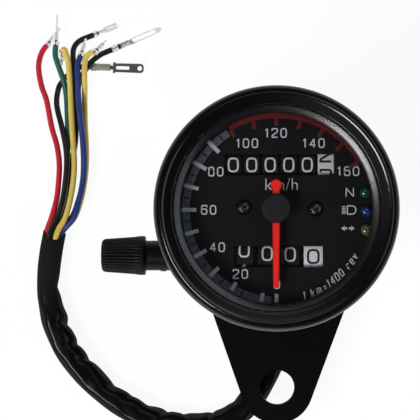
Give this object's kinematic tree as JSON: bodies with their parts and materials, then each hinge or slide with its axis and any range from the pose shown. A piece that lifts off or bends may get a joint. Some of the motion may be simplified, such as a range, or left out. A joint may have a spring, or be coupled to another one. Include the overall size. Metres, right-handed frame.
{
  "type": "motorcycle speedometer",
  "caption": "Round cable-driven motorcycle speedometer with odometer and trip drums, reset knob, warning lamps, bracket and harness.",
  "frame": {"origin": "centre of the drive cable nipple's end face, on the pointer's axis, at the level the gauge rests on", "axes": "+Z out of the dial, +Y from the bracket's hole towards the 120 end of the dial, +X away from the reset knob"},
  "size_m": [0.1035, 0.1251, 0.0655],
  "materials": {
    "case_enamel": "satin black stoved enamel",
    "bezel_gloss": "gloss black enamel",
    "lens_glass": "clear polished",
    "black_rubber": "matt moulded",
    "trim_black": "gloss black moulding",
    "dial_black": "satin black print ground",
    "screw_black": "blackened",
    "plated_steel": "bright zinc plate",
    "frame_alloy": "as die-cast",
    "sheet_steel": "pressed sheet",
    "shaft_steel": "turned",
    "magnet_iron": "ground sintered magnet",
    "cup_aluminium": "drawn sheet",
    "gear_brass": "cut brass",
    "drum_black": "moulded black with pale numerals",
    "drum_white": "moulded white with black numerals",
    "pinion_nylon": "moulded",
    "pointer_red": "signal red lacquer",
    "cap_black": "matt moulding",
    "knob_black": "ribbed satin moulding",
    "neck_black": "satin moulding",
    "sleeve_pvc": "soft glossy tubing, creased",
    "lead_pvc": "coloured insulation, one colour a lead",
    "terminal_tin": "tinned crimp terminals",
    "lamp_green": "tinted dome, unlit",
    "lamp_blue": "tinted dome, unlit",
    "lamp_amber": "tinted dome, unlit",
    "holder_black": "moulded",
    "bulb_glass": "clear wedge bulb"
  },
  "bodies": {
    "case": {"housing": "case_enamel", "bezel_ring": "bezel_gloss", "lens": "lens_glass", "lens_gasket": "black_rubber", "trim_ring": "trim_black", "dial_plate": "dial_black", "dial_screws": "screw_black", "cable_nipple": "plated_steel", "mounting_studs": "plated_steel", "rubber_cushions": "black_rubber", "stud_washers": "plated_steel", "stud_nuts": "plated_steel", "case_screws": "plated_steel", "bracket": "case_enamel", "harness_grommet": "black_rubber", "harness_sleeve": "sleeve_pvc", "lead_wires": "lead_pvc", "lead_terminals": "terminal_tin", "lamp_green": "lamp_green", "lamp_blue": "lamp_blue", "lamp_amber": "lamp_amber", "lamp_holder": "holder_black", "lamp_sockets": "black_rubber", "dial_bulbs": "bulb_glass", "mechanism_frame": "frame_alloy", "bridge_plate": "sheet_steel", "hairspring": "gear_brass", "carrier_plates": "sheet_steel", "reset_neck": "neck_black"},
    "pointer_assembly": {"pointer": "pointer_red", "pointer_cap": "cap_black", "pointer_spindle": "shaft_steel", "speed_cup": "cup_aluminium"},
    "drive_line": {"drive_shaft": "shaft_steel", "drive_magnet": "magnet_iron"},
    "cross_line": {"cross_shaft": "gear_brass"},
    "tower_line": {"tower_shaft": "gear_brass"},
    "trip_tower_line": {"trip_tower_shaft": "gear_brass"},
    "odometer_tenths": {"odometer_axle": "gear_brass", "odometer_drum_6": "drum_white"},
    "trip_drive_wheel": {"trip_wheel": "gear_brass"},
    "reset_line": {"reset_knob": "knob_black", "trip_axle": "shaft_steel"},
    "odometer_digit_5": {"odometer_drum_5": "drum_black"},
    "odometer_carry_5": {"odometer_pinion_5": "pinion_nylon"},
    "odometer_digit_4": {"odometer_drum_4": "drum_black"},
    "odometer_carry_4": {"odometer_pinion_4": "pinion_nylon"},
    "odometer_digit_3": {"odometer_drum_3": "drum_black"},
    "odometer_carry_3": {"odometer_pinion_3": "pinion_nylon"},
    "odometer_digit_2": {"odometer_drum_2": "drum_black"},
    "odometer_carry_2": {"odometer_pinion_2": "pinion_nylon"},
    "odometer_digit_1": {"odometer_drum_1": "drum_black"},
    "odometer_carry_1": {"odometer_pinion_1": "pinion_nylon"},
    "trip_digit_1": {"trip_drum_1": "drum_black"},
    "trip_carry_1": {"trip_pinion_1": "pinion_nylon"},
    "trip_digit_2": {"trip_drum_2": "drum_black"},
    "trip_carry_2": {"trip_pinion_2": "pinion_nylon"},
    "trip_digit_3": {"trip_drum_3": "drum_black"},
    "trip_carry_3": {"trip_pinion_3": "pinion_nylon"},
    "trip_digit_4": {"trip_drum_4": "drum_white"}
  },
  "joints": [
    {"name": "pointer_sweep", "type": "hinge", "parent": "case", "child": "pointer_assembly", "pos_m": [0, 0, 0.058], "axis": [0, 0, -1], "range_deg": [0, 240], "stiffness_Nm_per_rad": 0.00005},
    {"name": "drive_shaft_spin", "type": "hinge", "parent": "case", "child": "drive_line", "pos_m": [0, 0, 0.02], "axis": [0, 0, -1], "continuous": true},
    {"name": "cross_shaft_spin", "type": "hinge", "parent": "case", "child": "cross_line", "pos_m": [0, 0.00438, 0.0234], "axis": [1, 0, 0], "continuous": true},
    {"name": "tower_shaft_spin", "type": "hinge", "parent": "case", "child": "tower_line", "pos_m": [0.0173, 0.00794, 0.03], "axis": [0, 0, -1], "continuous": true},
    {"name": "trip_tower_spin", "type": "hinge", "parent": "case", "child": "trip_tower_line", "pos_m": [0.0173, -0.00924, 0.03], "axis": [0, 0, 1], "continuous": true},
    {"name": "odometer_tenths_turn", "type": "hinge", "parent": "case", "child": "odometer_tenths", "pos_m": [0.0131, 0.0115, 0.0452], "axis": [-1, 0, 0], "continuous": true},
    {"name": "odometer_digit_5_turn", "type": "hinge", "parent": "case", "child": "odometer_digit_5", "pos_m": [0.0082, 0.0115, 0.0452], "axis": [-1, 0, 0], "continuous": true},
    {"name": "odometer_carry_5_turn", "type": "hinge", "parent": "case", "child": "odometer_carry_5", "pos_m": [0.01065, 0.0115, 0.04115], "axis": [-1, 0, 0], "continuous": true},
    {"name": "odometer_digit_4_turn", "type": "hinge", "parent": "case", "child": "odometer_digit_4", "pos_m": [0.0033, 0.0115, 0.0452], "axis": [-1, 0, 0], "continuous": true},
    {"name": "odometer_carry_4_turn", "type": "hinge", "parent": "case", "child": "odometer_carry_4", "pos_m": [0.00575, 0.0115, 0.04115], "axis": [-1, 0, 0], "continuous": true},
    {"name": "odometer_digit_3_turn", "type": "hinge", "parent": "case", "child": "odometer_digit_3", "pos_m": [-0.0016, 0.0115, 0.0452], "axis": [-1, 0, 0], "continuous": true},
    {"name": "odometer_carry_3_turn", "type": "hinge", "parent": "case", "child": "odometer_carry_3", "pos_m": [0.00085, 0.0115, 0.04115], "axis": [-1, 0, 0], "continuous": true},
    {"name": "odometer_digit_2_turn", "type": "hinge", "parent": "case", "child": "odometer_digit_2", "pos_m": [-0.0065, 0.0115, 0.0452], "axis": [-1, 0, 0], "continuous": true},
    {"name": "odometer_carry_2_turn", "type": "hinge", "parent": "case", "child": "odometer_carry_2", "pos_m": [-0.00405, 0.0115, 0.04115], "axis": [-1, 0, 0], "continuous": true},
    {"name": "odometer_digit_1_turn", "type": "hinge", "parent": "case", "child": "odometer_digit_1", "pos_m": [-0.0114, 0.0115, 0.0452], "axis": [-1, 0, 0], "continuous": true},
    {"name": "odometer_carry_1_turn", "type": "hinge", "parent": "case", "child": "odometer_carry_1", "pos_m": [-0.00895, 0.0115, 0.04115], "axis": [-1, 0, 0], "continuous": true},
    {"name": "trip_drive_wheel_turn", "type": "hinge", "parent": "case", "child": "trip_drive_wheel", "pos_m": [0.0173, -0.0128, 0.0452], "axis": [-1, 0, 0], "continuous": true},
    {"name": "reset_knob_turn", "type": "hinge", "parent": "case", "child": "reset_line", "pos_m": [-0.0413, -0.0128, 0.0452], "axis": [-1, 0, 0], "continuous": true},
    {"name": "trip_digit_1_turn", "type": "hinge", "parent": "case", "child": "trip_digit_1", "pos_m": [-0.0085, -0.0128, 0.0452], "axis": [-1, 0, 0], "continuous": true},
    {"name": "trip_carry_1_turn", "type": "hinge", "parent": "case", "child": "trip_carry_1", "pos_m": [-0.00545, -0.0128, 0.04115], "axis": [-1, 0, 0], "continuous": true},
    {"name": "trip_digit_2_turn", "type": "hinge", "parent": "case", "child": "trip_digit_2", "pos_m": [-0.0024, -0.0128, 0.0452], "axis": [-1, 0, 0], "continuous": true},
    {"name": "trip_carry_2_turn", "type": "hinge", "parent": "case", "child": "trip_carry_2", "pos_m": [0.00065, -0.0128, 0.04115], "axis": [-1, 0, 0], "continuous": true},
    {"name": "trip_digit_3_turn", "type": "hinge", "parent": "case", "child": "trip_digit_3", "pos_m": [0.0037, -0.0128, 0.0452], "axis": [-1, 0, 0], "continuous": true},
    {"name": "trip_carry_3_turn", "type": "hinge", "parent": "case", "child": "trip_carry_3", "pos_m": [0.00675, -0.0128, 0.04115], "axis": [-1, 0, 0], "continuous": true},
    {"name": "trip_digit_4_turn", "type": "hinge", "parent": "case", "child": "trip_digit_4", "pos_m": [0.0098, -0.0128, 0.0452], "axis": [-1, 0, 0], "continuous": true}
  ],
  "couplings": [
    {"joint": "cross_shaft_spin", "follows": "drive_shaft_spin", "ratio": 0.071429},
    {"joint": "tower_shaft_spin", "follows": "drive_shaft_spin", "ratio": 0.0071429},
    {"joint": "trip_tower_spin", "follows": "drive_shaft_spin", "ratio": 0.0071429},
    {"joint": "odometer_tenths_turn", "follows": "drive_shaft_spin", "ratio": 0.00071429},
    {"joint": "odometer_digit_5_turn", "follows": "drive_shaft_spin", "ratio": 0.000071429},
    {"joint": "odometer_carry_5_turn", "follows": "drive_shaft_spin", "ratio": 0.00017857},
    {"joint": "odometer_digit_4_turn", "follows": "drive_shaft_spin", "ratio": 0.0000071429},
    {"joint": "odometer_carry_4_turn", "follows": "drive_shaft_spin", "ratio": 0.000017857},
    {"joint": "odometer_digit_3_turn", "follows": "drive_shaft_spin", "ratio": 0.00000071429},
    {"joint": "odometer_carry_3_turn", "follows": "drive_shaft_spin", "ratio": 0.0000017857},
    {"joint": "odometer_digit_2_turn", "follows": "drive_shaft_spin", "ratio": 0.000000071429},
    {"joint": "odometer_carry_2_turn", "follows": "drive_shaft_spin", "ratio": 0.00000017857},
    {"joint": "odometer_digit_1_turn", "follows": "drive_shaft_spin", "ratio": 0.0000000071429},
    {"joint": "odometer_carry_1_turn", "follows": "drive_shaft_spin", "ratio": 0.000000017857},
    {"joint": "trip_drive_wheel_turn", "follows": "drive_shaft_spin", "ratio": 0.00071429},
    {"joint": "trip_digit_1_turn", "follows": "reset_knob_turn", "ratio": 1},
    {"joint": "trip_carry_1_turn", "follows": "reset_knob_turn", "ratio": 2.5},
    {"joint": "trip_digit_2_turn", "follows": "reset_knob_turn", "ratio": 1},
    {"joint": "trip_carry_2_turn", "follows": "reset_knob_turn", "ratio": 2.5},
    {"joint": "trip_digit_3_turn", "follows": "reset_knob_turn", "ratio": 1},
    {"joint": "trip_carry_3_turn", "follows": "reset_knob_turn", "ratio": 2.5},
    {"joint": "trip_digit_4_turn", "follows": "reset_knob_turn", "ratio": 1}
  ]
}
